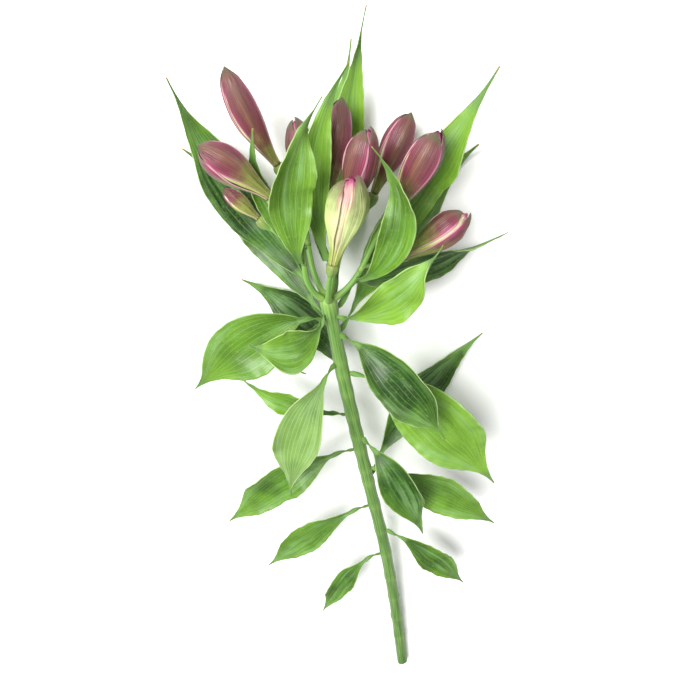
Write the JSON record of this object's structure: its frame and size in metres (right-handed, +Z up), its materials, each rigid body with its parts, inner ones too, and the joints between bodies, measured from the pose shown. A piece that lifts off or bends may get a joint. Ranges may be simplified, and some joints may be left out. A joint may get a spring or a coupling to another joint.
{
  "type": "alstroemeria stem",
  "caption": "Cut flower stem in bud, lying on its side: leafy green stalk, umbel of rays with plum buds, broad leaves on twisted stalks.",
  "frame": {"origin": "centre of the footprint of the stem's box, on the surface it lies on", "axes": "+Y along the stem towards the flower head, +Z up from the surface"},
  "size_m": [0.1737, 0.5022, 0.0719],
  "materials": {
    "stem": "smooth waxy green stalk",
    "rays": "smooth green flower stalks",
    "leaf": "satin leaf, paler below",
    "bract": "satin light green leaf",
    "plum_bud": "dusty plum petals, cream stripes",
    "pale_bud": "cream lime petals, pink mouth"
  },
  "bodies": {
    "root": {"stem": "stem", "ray_front": "rays", "ray_middle": "rays", "ray_left": "rays", "ray_right": "rays", "ray_left_low": "rays", "ray_low": "rays", "bud_pale_half_open": "pale_bud", "bud_plum_middle": "plum_bud", "bud_plum_high": "plum_bud", "bud_plum_left": "plum_bud", "bud_small_left": "plum_bud", "bud_plum_right": "plum_bud", "bud_half_open_right": "plum_bud", "bud_slender_left": "plum_bud", "bud_small_low": "plum_bud", "bud_plum_low": "plum_bud", "bud_plum_low_right": "plum_bud", "bract_leaf_broad": "bract", "bract_leaf_narrow": "bract", "bract_leaf_sickle": "bract", "bract_leaf_rear": "bract", "bract_leaf_right": "bract", "bract_leaf_low": "bract", "whorl_leaf_curled": "leaf", "whorl_leaf_rolled": "leaf", "whorl_leaf_left": "leaf", "whorl_leaf_folded": "leaf", "whorl_leaf_upright": "leaf", "whorl_leaf_rear_left": "leaf", "whorl_leaf_rear_right": "leaf", "whorl_leaf_rear": "leaf", "whorl_leaf_low_left": "leaf", "whorl_leaf_low_right": "leaf", "stem_leaf_broad": "leaf", "stem_leaf_front": "leaf", "stem_leaf_left_narrow": "leaf", "stem_leaf_front_low": "leaf", "stem_leaf_left": "leaf", "stem_leaf_right": "leaf", "stem_leaf_rear": "leaf", "stem_leaf_under": "leaf", "stem_leaf_low_left": "leaf", "stem_leaf_low_right": "leaf", "stem_leaf_lowest": "leaf"}
  },
  "joints": []
}
